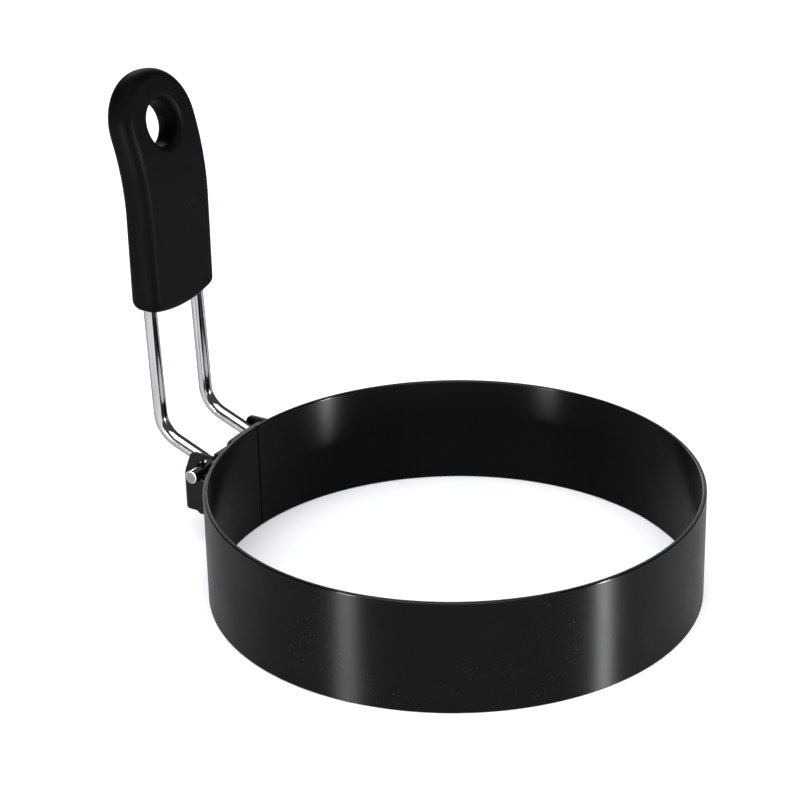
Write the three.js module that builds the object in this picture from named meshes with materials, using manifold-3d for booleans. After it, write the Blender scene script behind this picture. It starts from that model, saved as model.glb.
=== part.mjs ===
// Egg ring with a folding wire handle: a rolled strip ring, a folded sheet hinge bracket that
// bridges the strip's butt joint, a bent wire handle that swings in the bracket's ears, and a
// moulded grip pushed over the handle's closed end.
// Lengths are millimetres, +Z is up, the handle stands on the -X side and the hinge runs along Y.

import * as THREE from 'three';
import { mergeVertices } from 'three/addons/utils/BufferGeometryUtils.js';
import { TessellateModifier } from 'three/addons/modifiers/TessellateModifier.js';
import Module from 'manifold-3d';

const wasm = await Module();
wasm.setup();

// Ring band
const RING_RADIUS = 44.5;
const RING_HEIGHT = 20.6;
const RING_WALL = 0.9;
const RIM_ROUNDING = 0.3;
const SEAM_WIDTH = 0.35;
const SEAM_OFFSET = 1.9;

// Gaps: fixed pieces to each other, the pin in its seat, and the legs to the ears
const SEAT_GAP = 0.3;
const PIN_GAP = 0.35;
const LEG_GAP = 0.35;

// Wire handle: the pins lie below the ring's upper rim, the elbows outside and above the pins
const WIRE_DIAMETER = 2.5;
const LEG_SPACING = 14.3;
const LEG_LENGTH = 22.8;
const LEG_LEAN_DEGREES = 2.3;
const PIN_DROP = 4.9;
const PIN_STANDOFF = 0.87;
const PIN_PROUD = 4.05;
const PIN_BEND = 2.0;
const ELBOW_OUT = 11.05;
const ELBOW_RISE = 4.4;
const ELBOW_BEND = 5.5;
const BOW_BEND = 5.2;

// Hinge bracket, one folded sheet round the pins
const SHEET = 1.0;
const FOLD_RADIUS = 0.8;
const EAR_WALL = 3.45;
const JAW_DEPTH = 1.15;
const JAW_TIP_GAP = 0.1;
const SHOULDER_INSET = 1.9;
const SHOULDER_DROP = 1.0;
const WINDOW_DROP = 1.6;
const SKIRT_DEPTH = 6.75;
const FOOT_STEP = 0.5;
const SKIRT_CORNER = 0.8;
const LIP_RISE = 0.55;
const LIP_STEP = 0.25;
const LIP_PARTING = 0.6;
const TAB_DROP = 0.6;
const TAB_CORNER = 0.8;

// Grip: its walls beside and over the wire, and its moulded form
const GRIP_LENGTH = 44.7;
const GRIP_SIDE_WALL = 0.8;
const GRIP_COVER = 1.8;
const GRIP_SPLAY = 0.6;
const GRIP_THINNING = 1.0;
const GRIP_EDGE_WIDTH = 1.9;
const GRIP_EDGE_DEPTH = 2.9;
const GRIP_CORNER_EASE = 0.3;
const GRIP_FOOT_SAG = 0.9;
const GRIP_BEND_START = 19.0;
const GRIP_BEND_LENGTH = 15.0;
const GRIP_BEND_DEGREES = 16.0;
const HANG_HOLE_DIAMETER = 7.2;
const HANG_HOLE_STRAIGHT = 0.5;
const HANG_HOLE_WEB = 4.8;

// Overrun of every cut, the longest facet of the bent grip, and counts of facets
const OVERRUN = 2.0;
const GRIP_FACET = 5.0;
const GRIP_SPLITS = 24;
const RING_FACETS = 120;
const RIM_FACETS = 2;
const BASE_FACETS = 8;
const BEND_FACETS = 4;
const WIRE_SIDES = 16;
const CURVE_FACETS = 6;
const HOLE_FACETS = 28;

// Sizes that follow from those above
const wireRadius = WIRE_DIAMETER / 2;
const seatRadius = wireRadius + PIN_GAP;
const legY = LEG_SPACING / 2;
const earInnerY = legY + wireRadius + LEG_GAP;
const earMidY = earInnerY + SHEET / 2;
const earOuterY = earInnerY + SHEET;
const baseInner = RING_RADIUS + SEAT_GAP;
const baseMiddle = baseInner + SHEET / 2;
const baseOuter = baseInner + SHEET;
const pin = new THREE.Vector2(-(baseOuter + PIN_STANDOFF + wireRadius), RING_HEIGHT - PIN_DROP);
const earOuterX = pin.x - seatRadius - EAR_WALL;
const earTop = pin.y + seatRadius + JAW_DEPTH;
const windowFloor = pin.y - wireRadius - WINDOW_DROP;
const lipTop = windowFloor + LIP_RISE;
const skirtFoot = windowFloor - SKIRT_DEPTH;
const wallFoot = skirtFoot + FOOT_STEP;
const tabTop = RING_HEIGHT - TAB_DROP;
const elbow = new THREE.Vector2(pin.x - ELBOW_OUT, pin.y + ELBOW_RISE);
const legX = (z) => elbow.x - Math.tan(THREE.MathUtils.degToRad(LEG_LEAN_DEGREES)) * (z - elbow.y);
const gripFoot = elbow.y + LEG_LENGTH;
const gripFootHalf = legY + wireRadius + SEAT_GAP + GRIP_SIDE_WALL;
const gripThickness = 2 * (wireRadius + SEAT_GAP + GRIP_COVER);
const gripHeadRadius = gripFootHalf + GRIP_SPLAY;
const gripHeadCentre = GRIP_LENGTH - gripHeadRadius;
const gripHeadThickness = gripThickness - GRIP_THINNING;
const gripBend = THREE.MathUtils.degToRad(GRIP_BEND_DEGREES);
const gripBendRadius = GRIP_BEND_LENGTH / gripBend;
const handleTop = gripFoot + gripHeadCentre - HANG_HOLE_DIAMETER / 2 - HANG_HOLE_WEB - wireRadius;

// Axes for a drawing that is extruded: seen from the side (X, Z) or from the front (Y, Z).
const X = new THREE.Vector3(1, 0, 0);
const Y = new THREE.Vector3(0, 1, 0);
const Z = new THREE.Vector3(0, 0, 1);
const sideView = new THREE.Matrix4().makeBasis(X, Z, Y.clone().negate());
const frontView = new THREE.Matrix4().makeBasis(Y, Z, X);

// A closed three.js geometry as a solid that can be joined and cut, and back again.
function toSolid(geometry) {
  const bare = geometry.clone();
  bare.deleteAttribute('normal');
  bare.deleteAttribute('uv');
  const merged = mergeVertices(bare);
  return new wasm.Manifold(new wasm.Mesh({
    numProp: 3,
    vertProperties: new Float32Array(merged.attributes.position.array),
    triVerts: new Uint32Array(merged.index.array),
  }));
}

function toGeometry(solid) {
  const { vertProperties, triVerts } = solid.getMesh();
  const geometry = new THREE.BufferGeometry();
  geometry.setAttribute('position', new THREE.BufferAttribute(vertProperties, 3));
  geometry.setIndex(new THREE.BufferAttribute(triVerts, 1));
  geometry.computeVertexNormals();
  return geometry;
}

// Extrudes a drawing from one place to another along the third axis of its view.
function slab(shape, view, from, to) {
  const geometry = new THREE.ExtrudeGeometry(shape, {
    depth: to - from, bevelEnabled: false, curveSegments: CURVE_FACETS,
  });
  geometry.translate(0, 0, from);
  if (view) geometry.applyMatrix4(view);
  return toSolid(geometry);
}

function block(min, max) {
  const size = max.clone().sub(min);
  const middle = max.clone().add(min).multiplyScalar(1 / 2);
  const geometry = new THREE.BoxGeometry(size.x, size.y, size.z);
  geometry.translate(middle.x, middle.y, middle.z);
  return toSolid(geometry);
}

// Rounds the corners of an open run of points, each corner by its own radius.
function roundedRun(points, radii) {
  const run = [points[0].clone()];
  for (let i = 1; i < points.length - 1; i++) {
    const corner = points[i];
    const back = points[i - 1].clone().sub(corner).normalize();
    const on = points[i + 1].clone().sub(corner).normalize();
    const half = back.angleTo(on) / 2;
    if (!radii[i]) {
      run.push(corner.clone());
      continue;
    }
    const reach = radii[i] / Math.tan(half);
    const inward = back.clone().add(on).normalize();
    const centre = corner.clone().addScaledVector(inward, radii[i] / Math.sin(half));
    const start = corner.clone().addScaledVector(back, reach).sub(centre);
    const axis = back.clone().cross(start).normalize();
    for (let step = 0; step <= BEND_FACETS; step++) {
      const turn = (Math.PI - 2 * half) * step / BEND_FACETS;
      run.push(start.clone().applyAxisAngle(axis, turn).add(centre));
    }
  }
  run.push(points.at(-1).clone());
  return run;
}

// Direction of a run at each of its points, halfway between the stretches that meet there.
function runTangent(run, index) {
  const before = run[index].clone().sub(run[Math.max(index - 1, 0)]).normalize();
  const after = run[Math.min(index + 1, run.length - 1)].clone().sub(run[index]).normalize();
  return before.add(after).normalize();
}

// A curve whose steps fall exactly on the points of a run, so that straights stay single facets.
class RunCurve extends THREE.Curve {
  constructor(run) {
    super();
    this.run = run;
  }

  getPoint(t, target = new THREE.Vector3()) {
    const place = t * (this.run.length - 1);
    const index = Math.min(Math.floor(place), this.run.length - 2);
    return target.copy(this.run[index]).lerp(this.run[index + 1], place - index);
  }

  getTangent(t, target = new THREE.Vector3()) {
    return target.copy(runTangent(this.run, Math.round(t * (this.run.length - 1))));
  }

  getUtoTmapping(u) {
    return u;
  }
}

function tube(run, radius) {
  const section = new THREE.Shape();
  section.absarc(0, 0, radius, 0, 2 * Math.PI, false);
  return toSolid(new THREE.ExtrudeGeometry(section, {
    steps: run.length - 1,
    curveSegments: WIRE_SIDES / 2,
    extrudePath: new RunCurve(run),
  }));
}

// Ring band: a strip rolled into a circle with rounded edges, its two ends butted at the bracket.
function ringBand() {
  const inside = RING_RADIUS - RING_WALL;
  const r = RIM_ROUNDING;
  const profile = new THREE.Path();
  profile.moveTo(inside, r);
  profile.absarc(inside + r, r, r, Math.PI, 3 * Math.PI / 2, false);
  profile.absarc(RING_RADIUS - r, r, r, 3 * Math.PI / 2, 2 * Math.PI, false);
  profile.absarc(RING_RADIUS - r, RING_HEIGHT - r, r, 0, Math.PI / 2, false);
  profile.absarc(inside + r, RING_HEIGHT - r, r, Math.PI / 2, Math.PI, false);
  profile.lineTo(inside, r);
  const band = new THREE.LatheGeometry(profile.getPoints(RIM_FACETS / 2), RING_FACETS);
  band.rotateX(Math.PI / 2);
  const seam = block(
    new THREE.Vector3(-RING_RADIUS - OVERRUN, SEAM_OFFSET - SEAM_WIDTH / 2, -OVERRUN),
    new THREE.Vector3(-RING_RADIUS / 2, SEAM_OFFSET + SEAM_WIDTH / 2, RING_HEIGHT + OVERRUN),
  );
  return toSolid(band).subtract(seam);
}

// The bracket's sheet seen from above: two lips, two ears and the base that hugs the ring.
function bracketPlan() {
  const lipX = earOuterX + SHEET / 2;
  const spread = Math.asin(earMidY / baseMiddle);
  const half = [new THREE.Vector3(lipX, LIP_PARTING / 2, 0), new THREE.Vector3(lipX, earMidY, 0)];
  const base = [];
  for (let i = 0; i <= BASE_FACETS; i++) {
    const angle = Math.PI - spread + 2 * spread * i / BASE_FACETS;
    base.push(new THREE.Vector3(baseMiddle * Math.cos(angle), baseMiddle * Math.sin(angle), 0));
  }
  const mirrored = half.map((p) => new THREE.Vector3(p.x, -p.y, 0)).reverse();
  const points = [...half, ...base, ...mirrored];
  const folds = points.map(() => 0);
  for (const corner of [1, 2, points.length - 3, points.length - 2]) folds[corner] = FOLD_RADIUS;
  const run = roundedRun(points, folds);
  const offset = (side) => run.map((p, i) => {
    const normal = runTangent(run, i).cross(Z);
    return new THREE.Vector2(p.x, p.y).addScaledVector(normal, side * SHEET / 2);
  });
  return new THREE.Shape([...offset(1), ...offset(-1).reverse()]);
}

// An ear and its lip seen from the side: a hook whose jaw holds the pin down, over an open window.
function earProfile() {
  const rootX = -RING_RADIUS + OVERRUN;
  const tip = new THREE.Vector2(-(baseOuter + JAW_TIP_GAP), earTop);
  const toTip = tip.clone().sub(pin);
  const touch = toTip.angle() + Math.acos(seatRadius / toTip.length());
  const shoulder = new THREE.Vector2(earOuterX + SHOULDER_INSET, earTop - SHOULDER_DROP);
  const outline = new THREE.Shape();
  outline.moveTo(rootX, skirtFoot);
  outline.lineTo(pin.x - seatRadius, skirtFoot);
  outline.lineTo(pin.x - seatRadius - FOOT_STEP, wallFoot);
  outline.lineTo(earOuterX + SKIRT_CORNER, wallFoot);
  outline.quadraticCurveTo(earOuterX, wallFoot, earOuterX, wallFoot + SKIRT_CORNER);
  outline.lineTo(earOuterX, lipTop);
  outline.lineTo(earOuterX + LIP_STEP, lipTop);
  outline.lineTo(shoulder.x, shoulder.y);
  outline.quadraticCurveTo(shoulder.x + SHOULDER_DROP / 2, earTop, shoulder.x + 2 * SHOULDER_DROP, earTop);
  outline.lineTo(tip.x, tip.y);
  outline.lineTo(pin.x + seatRadius * Math.cos(touch), pin.y + seatRadius * Math.sin(touch));
  outline.absarc(pin.x, pin.y, seatRadius, touch, Math.PI, false);
  outline.lineTo(pin.x - seatRadius, windowFloor);
  outline.lineTo(rootX, windowFloor);
  return outline;
}

// The tab of the base that rises between the handle's legs, seen from the front.
function tabProfile() {
  const side = legY - wireRadius - LEG_GAP;
  const r = TAB_CORNER;
  const outline = new THREE.Shape();
  outline.moveTo(-side, skirtFoot);
  outline.lineTo(side, skirtFoot);
  outline.lineTo(side, tabTop - r);
  outline.absarc(side - r, tabTop - r, r, 0, Math.PI / 2, false);
  outline.absarc(-side + r, tabTop - r, r, Math.PI / 2, Math.PI, false);
  return outline;
}

// Hinge bracket: the folded sheet, trimmed to the outlines of its ears, lips and tab.
function hingeBracket() {
  const sheet = slab(bracketPlan(), null, skirtFoot - OVERRUN, tabTop + OVERRUN);
  const ears = slab(earProfile(), sideView, -earOuterY - OVERRUN, earOuterY + OVERRUN);
  const tab = slab(tabProfile(), frontView, -(baseOuter + SHEET), -RING_RADIUS + OVERRUN);
  const aboveLips = block(
    new THREE.Vector3(earOuterX - OVERRUN, -earInnerY, lipTop),
    new THREE.Vector3(earOuterX + SHEET + FOLD_RADIUS, earInnerY, earTop + OVERRUN),
  );
  return sheet.intersect(ears.add(tab)).subtract(aboveLips);
}

// Centre line of the handle's wire, from one pin end over the closed top to the other pin end.
function wireRun() {
  const half = [
    new THREE.Vector3(pin.x, -(earOuterY + PIN_PROUD), pin.y),
    new THREE.Vector3(pin.x, -legY, pin.y),
    new THREE.Vector3(elbow.x, -legY, elbow.y),
    new THREE.Vector3(legX(handleTop), -legY, handleTop),
  ];
  const mirrored = half.map((p) => new THREE.Vector3(p.x, -p.y, p.z)).reverse();
  const bends = [0, PIN_BEND, ELBOW_BEND, BOW_BEND];
  return roundedRun([...half, ...mirrored], [...bends, ...bends.toReversed()]);
}

// The part of that line inside the grip, run out below the grip's foot.
function channelRun() {
  const foot = gripFoot - OVERRUN;
  const half = [
    new THREE.Vector3(legX(foot), -legY, foot),
    new THREE.Vector3(legX(handleTop), -legY, handleTop),
  ];
  const mirrored = half.map((p) => new THREE.Vector3(p.x, -p.y, p.z)).reverse();
  return roundedRun([...half, ...mirrored], [0, BOW_BEND, BOW_BEND, 0]);
}

// The grip laid flat, less the width of its rounded edge: width across, length upward from the
// lowest point of its foot.
function gripOutline() {
  const foot = gripFootHalf - GRIP_EDGE_WIDTH;
  const head = gripHeadRadius - GRIP_EDGE_WIDTH;
  const ease = GRIP_CORNER_EASE;
  const low = GRIP_EDGE_WIDTH + GRIP_FOOT_SAG;
  const outline = new THREE.Shape();
  outline.moveTo(foot, low + ease);
  outline.lineTo(head, gripHeadCentre);
  outline.absarc(0, gripHeadCentre, head, 0, Math.PI, false);
  outline.lineTo(-foot, low + ease);
  outline.quadraticCurveTo(-foot, low, -foot + ease, low);
  outline.quadraticCurveTo(0, low - 2 * GRIP_FOOT_SAG, foot - ease, low);
  outline.quadraticCurveTo(foot, low, foot, low + ease);
  return outline;
}

// Moves a point of the flat grip to its place: across is Y, along is the bent centre line, and
// through is the thickness, towards the ring.
function bendPoint(across, along, through) {
  const centreX = legX(gripFoot) - gripBendRadius;
  const angle = THREE.MathUtils.clamp((along - GRIP_BEND_START) / gripBendRadius, 0, gripBend);
  const straight = along - GRIP_BEND_START - angle * gripBendRadius;
  const arm = gripBendRadius + through;
  return new THREE.Vector3(
    centreX + arm * Math.cos(angle) - straight * Math.sin(angle),
    across,
    gripFoot + GRIP_BEND_START + arm * Math.sin(angle) + straight * Math.cos(angle),
  );
}

// Thickness at a distance along the grip, as a share of the thickness at its foot.
function thicknessShare(along) {
  const headShare = gripHeadThickness / gripThickness;
  return THREE.MathUtils.lerp(1, headShare, Math.min(along / gripHeadCentre, 1));
}

// Hole for hanging, square to the grip's head: its wall is rounded off from a short straight
// stretch in the middle to both faces.
function hangHole() {
  const r = HANG_HOLE_DIAMETER / 2;
  const face = gripHeadThickness / 2;
  const flare = face - HANG_HOLE_STRAIGHT / 2;
  const profile = new THREE.Path();
  profile.moveTo(0, -face - OVERRUN);
  profile.lineTo(r + flare, -face - OVERRUN);
  profile.lineTo(r + flare, -face);
  profile.absarc(r + flare, flare - face, flare, -Math.PI / 2, -Math.PI, true);
  profile.absarc(r + flare, face - flare, flare, Math.PI, Math.PI / 2, true);
  profile.lineTo(r + flare, face + OVERRUN);
  profile.lineTo(0, face + OVERRUN);
  const cutter = new THREE.LatheGeometry(profile.getPoints(CURVE_FACETS / 3), HOLE_FACETS);
  cutter.rotateZ(-Math.PI / 2);
  cutter.rotateY(-gripBend);
  const centre = bendPoint(0, gripHeadCentre, 0);
  cutter.translate(centre.x, centre.y, centre.z);
  return toSolid(cutter);
}

// Grip: a rounded tongue, thinner and bent outward at its head, with a channel for the wire.
function grip() {
  const flat = new THREE.ExtrudeGeometry(gripOutline(), {
    depth: gripThickness - 2 * GRIP_EDGE_DEPTH,
    bevelThickness: GRIP_EDGE_DEPTH,
    bevelSize: GRIP_EDGE_WIDTH,
    bevelSegments: BEND_FACETS,
    curveSegments: 2 * CURVE_FACETS,
  });
  flat.translate(0, 0, GRIP_EDGE_DEPTH - gripThickness / 2);
  const bent = new TessellateModifier(GRIP_FACET, GRIP_SPLITS).modify(flat);
  const position = bent.attributes.position;
  for (let i = 0; i < position.count; i++) {
    const along = position.getY(i);
    const through = position.getZ(i) * thicknessShare(along);
    position.setXYZ(i, ...bendPoint(position.getX(i), along, through));
  }
  const channel = tube(channelRun(), wireRadius + SEAT_GAP);
  return toSolid(bent).subtract(channel).subtract(hangHole());
}

const finishes = {
  coating: { color: 0x1c1b1c, roughness: 0.42, metalness: 0.25 },
  polishedWire: { color: 0xd8dadc, roughness: 0.1, metalness: 1 },
  softPlastic: { color: 0x1d1c1e, roughness: 0.6, metalness: 0 },
};

function piece(name, solid, finish) {
  const mesh = new THREE.Mesh(toGeometry(solid), new THREE.MeshStandardMaterial(finish));
  mesh.name = name;
  return mesh;
}

const eggRing = new THREE.Group();
eggRing.add(
  piece('ring_band', ringBand(), finishes.coating),
  piece('hinge_bracket', hingeBracket(), finishes.coating),
  piece('handle_wire', tube(wireRun(), wireRadius), finishes.polishedWire),
  piece('grip', grip(), finishes.softPlastic),
);

// The origin is under the middle of the whole part, on the surface that the ring stands on.
const extent = new THREE.Box3().setFromObject(eggRing);
eggRing.position.x = -(extent.min.x + extent.max.x) / 2;
eggRing.updateMatrixWorld(true);

export default eggRing;
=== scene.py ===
# %% [markdown]
# # A ring for frying, with a folding wire handle
#
# The part has four pieces: a rolled steel band, a folded bracket that holds the hinge, a bent wire
# handle, and a soft grip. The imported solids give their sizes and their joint. This lesson remakes
# each piece with a fine surface, as its maker would: the band is rolled, the bracket is folded and
# then cut to its outline, the wire is bent, and the grip is moulded. All lengths are in metres.

import math

import bpy
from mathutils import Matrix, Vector


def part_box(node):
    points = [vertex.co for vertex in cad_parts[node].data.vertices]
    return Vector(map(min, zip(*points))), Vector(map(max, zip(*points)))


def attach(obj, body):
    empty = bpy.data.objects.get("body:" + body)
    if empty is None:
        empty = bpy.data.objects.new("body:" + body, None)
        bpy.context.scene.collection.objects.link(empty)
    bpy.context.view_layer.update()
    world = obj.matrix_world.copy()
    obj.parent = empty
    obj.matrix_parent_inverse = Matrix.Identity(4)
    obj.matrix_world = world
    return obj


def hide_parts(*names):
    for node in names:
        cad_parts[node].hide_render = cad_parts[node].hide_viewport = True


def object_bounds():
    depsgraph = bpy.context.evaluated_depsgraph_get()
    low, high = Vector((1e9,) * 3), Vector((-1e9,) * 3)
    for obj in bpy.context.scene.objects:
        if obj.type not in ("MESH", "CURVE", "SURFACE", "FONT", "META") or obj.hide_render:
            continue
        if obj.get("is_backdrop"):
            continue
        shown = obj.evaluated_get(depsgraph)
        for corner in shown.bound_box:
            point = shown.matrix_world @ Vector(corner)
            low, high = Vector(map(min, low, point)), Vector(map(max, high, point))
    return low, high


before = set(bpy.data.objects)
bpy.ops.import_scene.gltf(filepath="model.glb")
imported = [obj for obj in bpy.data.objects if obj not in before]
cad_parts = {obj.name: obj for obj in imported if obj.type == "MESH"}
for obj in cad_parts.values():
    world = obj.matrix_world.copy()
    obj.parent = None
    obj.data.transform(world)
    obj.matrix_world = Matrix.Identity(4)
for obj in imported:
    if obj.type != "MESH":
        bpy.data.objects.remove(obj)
cad_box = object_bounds()
print("solids:", sorted(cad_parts))

# %% [markdown]
# ## The ring's place
#
# Sizes that the solids already have are read from their boxes, so that the fine pieces can't drift
# away from them. The other sizes come from the drawing of the part, and each is written down where
# it is first needed. The first are those of the pins that the handle turns on.

# %% Read the ring's place and find the pins
ring_low, ring_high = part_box("ring_band")
RING_RADIUS = (ring_high.y - ring_low.y) / 2
RING_HEIGHT = ring_high.z - ring_low.z
RING_X = (ring_high.x + ring_low.x) / 2
RING_CENTRE = Vector((RING_X, 0, 0))

PIN_OFF = 0.00342
PIN_Z = 0.0157
pin = Vector((RING_X - RING_RADIUS - PIN_OFF, 0, PIN_Z))
print(f"ring radius {RING_RADIUS:.4f}, its centre at x {RING_X:.4f}, pins at x {pin.x:.4f}")

# %% [markdown]
# ## Working in edit mode
#
# Each piece starts as a small primitive and is drawn out by extruding, turning and cutting it, as
# by hand. These helpers only save repeating the same calls: everything is deselected first, since
# an operator acts on all that is selected.

# %% Helpers for picking up a piece
MM_PER_METRE = 1000


def fresh():
    """Leave edit mode and deselect everything."""
    if bpy.context.object and bpy.context.object.mode != "OBJECT":
        bpy.ops.object.mode_set(mode="OBJECT")
    bpy.ops.object.select_all(action="DESELECT")


def choose(piece):
    """Make one piece active, and the only one that is selected."""
    fresh()
    bpy.context.view_layer.objects.active = piece
    piece.select_set(True)


def edit():
    """Open the active piece in edit mode with all of it selected."""
    bpy.ops.object.mode_set(mode="EDIT")
    bpy.ops.mesh.select_all(action="SELECT")


def settle(name):
    """Name the active piece and put its place into its mesh."""
    piece = bpy.context.object
    piece.name = piece.data.name = name
    bpy.ops.object.transform_apply(location=True, rotation=True, scale=True)
    return piece


def report(piece):
    """Print how many faces a piece has, and its box in millimetres."""
    sides = [[v.co[axis] * MM_PER_METRE for v in piece.data.vertices] for axis in range(3)]
    box = ", ".join(f"{min(side):.1f} to {max(side):.1f}" for side in sides)
    print(f"{piece.name}: {len(piece.data.polygons)} faces, {box} mm")


# %% [markdown]
# The next helpers shape a piece. The spin operator is the most useful one here: it carries a
# cross-section round an axis, which rolls a strip, folds a sheet or bends a wire, and the section
# stays the same all the way. Modifiers are applied at once, so that what follows works on the
# finished mesh. A block or a strip's end starts with sides of one unit and is scaled to its size.

# %% Helpers for shaping a piece
MERGE = 0.000002
X_AXIS, Y_AXIS, Z_AXIS = Vector((1, 0, 0)), Vector((0, 1, 0)), Vector((0, 0, 1))
RIGHT_ANGLE = math.radians(90)
UNIT = 1


def strip_end(name, thickness, width, middle):
    """Draw the end of a strip that stands on edge, and open it in edit mode."""
    fresh()
    bpy.ops.mesh.primitive_plane_add(size=UNIT, rotation=(RIGHT_ANGLE, 0, 0))
    end = bpy.context.object
    end.scale = (thickness, width, UNIT)
    end.location = middle
    piece = settle(name)
    edit()
    return piece


def draw_out(step):
    """Extrude the selected end by a step."""
    bpy.ops.mesh.extrude_region_move(TRANSFORM_OT_translate={"value": tuple(step)})


def turn(angle, centre, axis, steps):
    """Carry the selected end round an axis, as when a bar is bent. The operator turns clockwise."""
    bpy.ops.mesh.spin(steps=steps, angle=-angle, center=tuple(centre), axis=tuple(axis))


def finish_surface():
    """Merge doubles and point every face outward."""
    bpy.ops.mesh.select_all(action="SELECT")
    bpy.ops.mesh.remove_doubles(threshold=MERGE)
    bpy.ops.mesh.normals_make_consistent(inside=False)
    bpy.ops.object.mode_set(mode="OBJECT")


def modify(piece, kind, **settings):
    """Add a modifier, set it and apply it."""
    choose(piece)
    modifier = piece.modifiers.new(kind.title(), kind)
    for key, value in settings.items():
        setattr(modifier, key, value)
    bpy.ops.object.modifier_apply(modifier=modifier.name)


def smooth(piece, angle):
    """Shade a piece smooth, with broad faces kept flat at their rounded edges."""
    choose(piece)
    bpy.ops.object.shade_smooth_by_angle(angle=angle)
    modify(piece, "WEIGHTED_NORMAL", keep_sharp=True)


# %% [markdown]
# ## The band
#
# The real band is a strip of thin steel, rolled into a ring, with its ends butted where the
# bracket bridges them. A cylinder with a wall would do, but its rims would be knife-sharp. So the
# strip's cross-section is drawn first, its four corners are rounded, and the section is then
# carried round the ring's axis, stopping one seam's width before it meets itself.

# %% Roll the band
RING_WALL = 0.0009
RIM_ROUNDING = 0.0003
RIM_STEPS = 4
BAND_STEPS = 240
SEAM_WIDTH = 0.00035
SEAM_OFFSET = 0.0019
SHARP = math.radians(35)

band = strip_end(
    "band", RING_WALL, RING_HEIGHT, (RING_RADIUS - RING_WALL / 2, 0, RING_HEIGHT / 2)
)
bpy.ops.mesh.bevel(offset=RIM_ROUNDING, segments=RIM_STEPS, affect="VERTICES")
bpy.ops.mesh.select_all(action="SELECT")
seam_angle = SEAM_WIDTH / RING_RADIUS
turn(2 * math.pi - seam_angle, (0, 0, 0), Z_AXIS, BAND_STEPS)
finish_surface()
band.rotation_euler = (0, 0, math.pi - math.asin(SEAM_OFFSET / RING_RADIUS) + seam_angle / 2)
band.location = RING_CENTRE
choose(band)
settle("band")
smooth(band, SHARP)
report(band)

# %% [markdown]
# ## The bracket
#
# The bracket is one strip of sheet, folded four times: a lip, an ear, the base that hugs the
# band, the other ear and the other lip. It could be built from boxes, but their corners would be
# too sharp and too thick for sheet. It is made in the real order: the strip's end is drawn out and
# turned along the folds, which keeps its thickness the same all the way. The outline of the ears
# is cut afterwards with plates shaped like a press tool.

# %% Fold the strip
SHEET = 0.001
SEAT_GAP = 0.0003
SEAT_RADIUS = 0.0016
FOLD_RADIUS = 0.0008
FOLD_STEPS = 8
BASE_STEPS = 16
EAR_Y = 0.00925
EAR_WALL = 0.00345
LIP_PARTING = 0.0006
STRIP_FOOT = 0.006
STRIP_TOP = 0.0204

base_radius = RING_RADIUS + SEAT_GAP + SHEET / 2
ear_outer_x = pin.x - SEAT_RADIUS - EAR_WALL
lip_x = ear_outer_x + SHEET / 2
root_y = EAR_Y - FOLD_RADIUS
root_x = RING_X - math.sqrt((base_radius + FOLD_RADIUS) ** 2 - root_y**2)
root_angle = math.asin(root_y / (base_radius + FOLD_RADIUS))
lip_length = root_y - LIP_PARTING / 2
ear_length = root_x - lip_x - FOLD_RADIUS

bracket = strip_end(
    "bracket",
    SHEET,
    STRIP_TOP - STRIP_FOOT,
    (lip_x, LIP_PARTING / 2, (STRIP_TOP + STRIP_FOOT) / 2),
)
draw_out((0, lip_length, 0))
turn(-RIGHT_ANGLE, (lip_x + FOLD_RADIUS, root_y, 0), Z_AXIS, FOLD_STEPS)
draw_out((ear_length, 0, 0))
turn(-(RIGHT_ANGLE + root_angle), (root_x, root_y, 0), Z_AXIS, FOLD_STEPS)
turn(2 * root_angle, RING_CENTRE, Z_AXIS, BASE_STEPS)
turn(-(RIGHT_ANGLE + root_angle), (root_x, -root_y, 0), Z_AXIS, FOLD_STEPS)
draw_out((-ear_length, 0, 0))
turn(-RIGHT_ANGLE, (lip_x + FOLD_RADIUS, -root_y, 0), Z_AXIS, FOLD_STEPS)
draw_out((0, lip_length, 0))
finish_surface()
report(bracket)

# %% [markdown]
# The press tool has two plates, each with an outline that is drawn point by point, filled and
# given a depth. One has the ears' outline seen from the side: a hook whose jaw holds the pin down,
# over an open window. The other is the tab of the base that stands up between the handle's legs.
# Joined, they cover exactly the sheet that stays.

# %% Helpers for drawn tools
SEED_SIZE = 0.001


def arc(centre, radius, start, end, steps):
    """Points along an arc in a drawing's own two directions."""
    turns = [start + (end - start) * i / steps for i in range(steps + 1)]
    return [(centre[0] + radius * math.cos(t), centre[1] + radius * math.sin(t)) for t in turns]


def draw_points(points):
    """Merge a small plane into one point, and draw a line from there through all the points."""
    fresh()
    bpy.ops.mesh.primitive_plane_add(size=SEED_SIZE, location=points[0])
    edit()
    bpy.ops.mesh.merge(type="CENTER")
    for here, there in zip(points, points[1:]):
        draw_out(there - here)
    bpy.ops.mesh.select_all(action="SELECT")


def plate(name, outline, place, depth):
    """Draw a closed outline, fill it and extrude it by a depth."""
    points = [place(*p) for p in outline]
    draw_points(points + points[:1])
    bpy.ops.mesh.remove_doubles(threshold=MERGE)
    bpy.ops.mesh.edge_face_add()
    draw_out(depth)
    finish_surface()
    return settle(name)


def cut(piece, tool, operation):
    """Cut or join a piece with a tool, which is then thrown away."""
    modify(piece, "BOOLEAN", object=tool, operation=operation, solver="EXACT")
    bpy.data.objects.remove(tool)


# %% [markdown]
# The ears' outline runs from the foot by the band out to the skirt's corner, up the outer wall,
# over the rounded shoulder to the tip of the jaw, round the pin's seat, and back along the
# window's floor. The jaw must run into the seat smoothly, so the angle at which a straight line
# from its tip touches the seat's circle is worked out and not guessed.

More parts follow.
